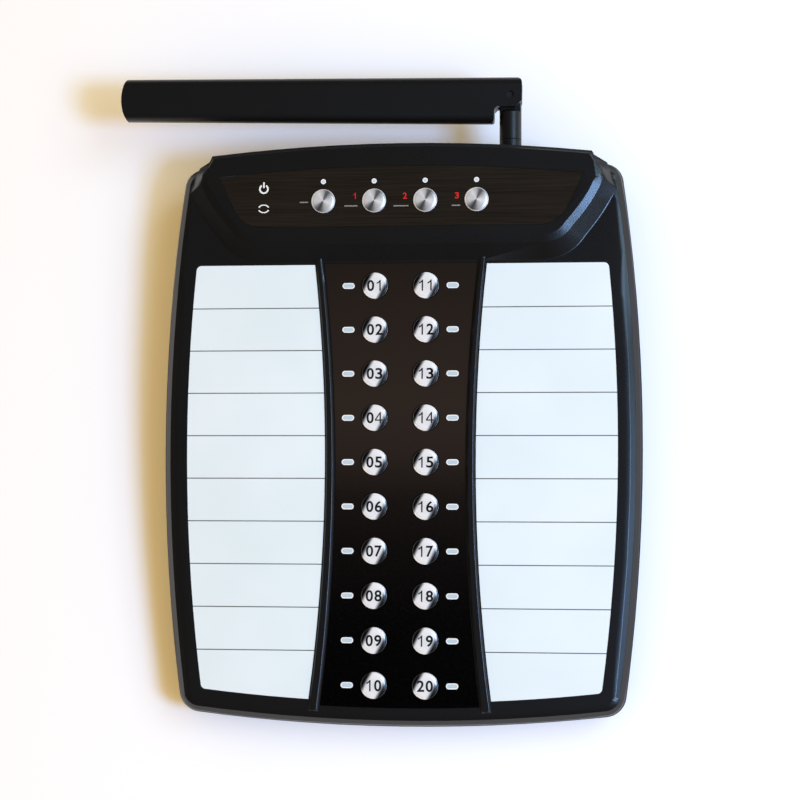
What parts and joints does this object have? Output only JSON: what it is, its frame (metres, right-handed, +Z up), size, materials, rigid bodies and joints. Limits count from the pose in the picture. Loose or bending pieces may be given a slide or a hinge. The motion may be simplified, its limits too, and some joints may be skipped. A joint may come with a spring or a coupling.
{
  "type": "waiter call console",
  "caption": "Desk console with numbered round push keys, label cards, a raised row of function keys and a folding, swivelling antenna.",
  "frame": {"origin": "centre of the bottom cover's flat underside", "axes": "+X to the user's right, +Y to the rear, +Z up"},
  "size_m": [0.2269, 0.2811, 0.0386],
  "materials": {
    "case": "fine-textured matte black moulding",
    "keypad_film": "smooth dark brown-black film",
    "head_film": "dark brown film with a fine brushed grain",
    "label_card": "pale smooth card under a clear film",
    "key_metal": "brushed metal with a spun rim",
    "board": "green solder mask",
    "switch": "satin black moulding",
    "lamp": "cloudy white lens",
    "light_guide": "clear moulding",
    "shield": "tinned sheet",
    "chip": "moulded epoxy",
    "capacitor": "moulded yellow case",
    "inlet": "satin black moulding",
    "contact": "drawn",
    "antenna": "matte black moulding",
    "spring_steel": "plated",
    "lead": "smooth jacket",
    "foot": "matt"
  },
  "bodies": {
    "console": {"antenna_bushing": "antenna", "antenna_lead": "lead", "antenna_lock_plate": "spring_steel", "bottom_cover": "case", "buzzer": "chip", "call_lamps": "lamp", "call_switch_housings": "switch", "case_screws": "spring_steel", "dc_jack": "inlet", "dc_jack_pin": "contact", "function_leds": "lamp", "function_light_guides": "light_guide", "function_overlay": "head_film", "function_switch_housings": "switch", "keypad_overlay": "keypad_film", "label_card_left": "label_card", "label_card_right": "label_card", "main_board": "board", "processor_chip": "chip", "radio_module": "board", "radio_shield": "shield", "rubber_feet": "foot", "status_leds": "lamp", "status_light_guides": "light_guide", "supply_capacitor": "capacitor", "top_cover": "case", "voltage_regulator": "chip"},
    "call_key_01": {"call_key_01": "key_metal"},
    "call_key_02": {"call_key_02": "key_metal"},
    "call_key_03": {"call_key_03": "key_metal"},
    "call_key_04": {"call_key_04": "key_metal"},
    "call_key_05": {"call_key_05": "key_metal"},
    "call_key_06": {"call_key_06": "key_metal"},
    "call_key_07": {"call_key_07": "key_metal"},
    "call_key_08": {"call_key_08": "key_metal"},
    "call_key_09": {"call_key_09": "key_metal"},
    "call_key_10": {"call_key_10": "key_metal"},
    "call_key_11": {"call_key_11": "key_metal"},
    "call_key_12": {"call_key_12": "key_metal"},
    "call_key_13": {"call_key_13": "key_metal"},
    "call_key_14": {"call_key_14": "key_metal"},
    "call_key_15": {"call_key_15": "key_metal"},
    "call_key_16": {"call_key_16": "key_metal"},
    "call_key_17": {"call_key_17": "key_metal"},
    "call_key_18": {"call_key_18": "key_metal"},
    "call_key_19": {"call_key_19": "key_metal"},
    "call_key_20": {"call_key_20": "key_metal"},
    "function_key_1": {"function_key_1": "key_metal"},
    "function_key_2": {"function_key_2": "key_metal"},
    "function_key_3": {"function_key_3": "key_metal"},
    "function_key_4": {"function_key_4": "key_metal"},
    "antenna_knuckle": {"antenna_knuckle": "antenna", "antenna_clip": "spring_steel", "antenna_hinge_pin": "spring_steel"},
    "antenna_blade": {"antenna_blade": "antenna", "antenna_radiator": "contact"}
  },
  "joints": [
    {"name": "call_key_01_press", "type": "slide", "parent": "console", "child": "call_key_01", "axis": [0, 0.0523, -0.9986], "range_m": [0, 0.00035], "stiffness_N_per_m": 4000, "springref_m": -0.0001},
    {"name": "call_key_02_press", "type": "slide", "parent": "console", "child": "call_key_02", "axis": [0, 0.0523, -0.9986], "range_m": [0, 0.00035], "stiffness_N_per_m": 4000, "springref_m": -0.0001},
    {"name": "call_key_03_press", "type": "slide", "parent": "console", "child": "call_key_03", "axis": [0, 0.0523, -0.9986], "range_m": [0, 0.00035], "stiffness_N_per_m": 4000, "springref_m": -0.0001},
    {"name": "call_key_04_press", "type": "slide", "parent": "console", "child": "call_key_04", "axis": [0, 0.0523, -0.9986], "range_m": [0, 0.00035], "stiffness_N_per_m": 4000, "springref_m": -0.0001},
    {"name": "call_key_05_press", "type": "slide", "parent": "console", "child": "call_key_05", "axis": [0, 0.0523, -0.9986], "range_m": [0, 0.00035], "stiffness_N_per_m": 4000, "springref_m": -0.0001},
    {"name": "call_key_06_press", "type": "slide", "parent": "console", "child": "call_key_06", "axis": [0, 0.0523, -0.9986], "range_m": [0, 0.00035], "stiffness_N_per_m": 4000, "springref_m": -0.0001},
    {"name": "call_key_07_press", "type": "slide", "parent": "console", "child": "call_key_07", "axis": [0, 0.0523, -0.9986], "range_m": [0, 0.00035], "stiffness_N_per_m": 4000, "springref_m": -0.0001},
    {"name": "call_key_08_press", "type": "slide", "parent": "console", "child": "call_key_08", "axis": [0, 0.0523, -0.9986], "range_m": [0, 0.00035], "stiffness_N_per_m": 4000, "springref_m": -0.0001},
    {"name": "call_key_09_press", "type": "slide", "parent": "console", "child": "call_key_09", "axis": [0, 0.0523, -0.9986], "range_m": [0, 0.00035], "stiffness_N_per_m": 4000, "springref_m": -0.0001},
    {"name": "call_key_10_press", "type": "slide", "parent": "console", "child": "call_key_10", "axis": [0, 0.0523, -0.9986], "range_m": [0, 0.00035], "stiffness_N_per_m": 4000, "springref_m": -0.0001},
    {"name": "call_key_11_press", "type": "slide", "parent": "console", "child": "call_key_11", "axis": [0, 0.0523, -0.9986], "range_m": [0, 0.00035], "stiffness_N_per_m": 4000, "springref_m": -0.0001},
    {"name": "call_key_12_press", "type": "slide", "parent": "console", "child": "call_key_12", "axis": [0, 0.0523, -0.9986], "range_m": [0, 0.00035], "stiffness_N_per_m": 4000, "springref_m": -0.0001},
    {"name": "call_key_13_press", "type": "slide", "parent": "console", "child": "call_key_13", "axis": [0, 0.0523, -0.9986], "range_m": [0, 0.00035], "stiffness_N_per_m": 4000, "springref_m": -0.0001},
    {"name": "call_key_14_press", "type": "slide", "parent": "console", "child": "call_key_14", "axis": [0, 0.0523, -0.9986], "range_m": [0, 0.00035], "stiffness_N_per_m": 4000, "springref_m": -0.0001},
    {"name": "call_key_15_press", "type": "slide", "parent": "console", "child": "call_key_15", "axis": [0, 0.0523, -0.9986], "range_m": [0, 0.00035], "stiffness_N_per_m": 4000, "springref_m": -0.0001},
    {"name": "call_key_16_press", "type": "slide", "parent": "console", "child": "call_key_16", "axis": [0, 0.0523, -0.9986], "range_m": [0, 0.00035], "stiffness_N_per_m": 4000, "springref_m": -0.0001},
    {"name": "call_key_17_press", "type": "slide", "parent": "console", "child": "call_key_17", "axis": [0, 0.0523, -0.9986], "range_m": [0, 0.00035], "stiffness_N_per_m": 4000, "springref_m": -0.0001},
    {"name": "call_key_18_press", "type": "slide", "parent": "console", "child": "call_key_18", "axis": [0, 0.0523, -0.9986], "range_m": [0, 0.00035], "stiffness_N_per_m": 4000, "springref_m": -0.0001},
    {"name": "call_key_19_press", "type": "slide", "parent": "console", "child": "call_key_19", "axis": [0, 0.0523, -0.9986], "range_m": [0, 0.00035], "stiffness_N_per_m": 4000, "springref_m": -0.0001},
    {"name": "call_key_20_press", "type": "slide", "parent": "console", "child": "call_key_20", "axis": [0, 0.0523, -0.9986], "range_m": [0, 0.00035], "stiffness_N_per_m": 4000, "springref_m": -0.0001},
    {"name": "function_key_1_press", "type": "slide", "parent": "console", "child": "function_key_1", "axis": [0, 0.0523, -0.9986], "range_m": [0, 0.00035], "stiffness_N_per_m": 4000, "springref_m": -0.0001},
    {"name": "function_key_2_press", "type": "slide", "parent": "console", "child": "function_key_2", "axis": [0, 0.0523, -0.9986], "range_m": [0, 0.00035], "stiffness_N_per_m": 4000, "springref_m": -0.0001},
    {"name": "function_key_3_press", "type": "slide", "parent": "console", "child": "function_key_3", "axis": [0, 0.0523, -0.9986], "range_m": [0, 0.00035], "stiffness_N_per_m": 4000, "springref_m": -0.0001},
    {"name": "function_key_4_press", "type": "slide", "parent": "console", "child": "function_key_4", "axis": [0, 0.0523, -0.9986], "range_m": [0, 0.00035], "stiffness_N_per_m": 4000, "springref_m": -0.0001},
    {"name": "antenna_swivel", "type": "hinge", "parent": "console", "child": "antenna_knuckle", "pos_m": [0.0472, 0.14616, 0.02879], "axis": [0, 0.9986, 0.0523], "range_deg": [0, 180]},
    {"name": "antenna_hinge", "type": "hinge", "parent": "antenna_knuckle", "child": "antenna_blade", "pos_m": [0.0472, 0.14616, 0.02879], "axis": [0, -0.0523, 0.9986], "range_deg": [-88.97, 1.03]}
  ]
}
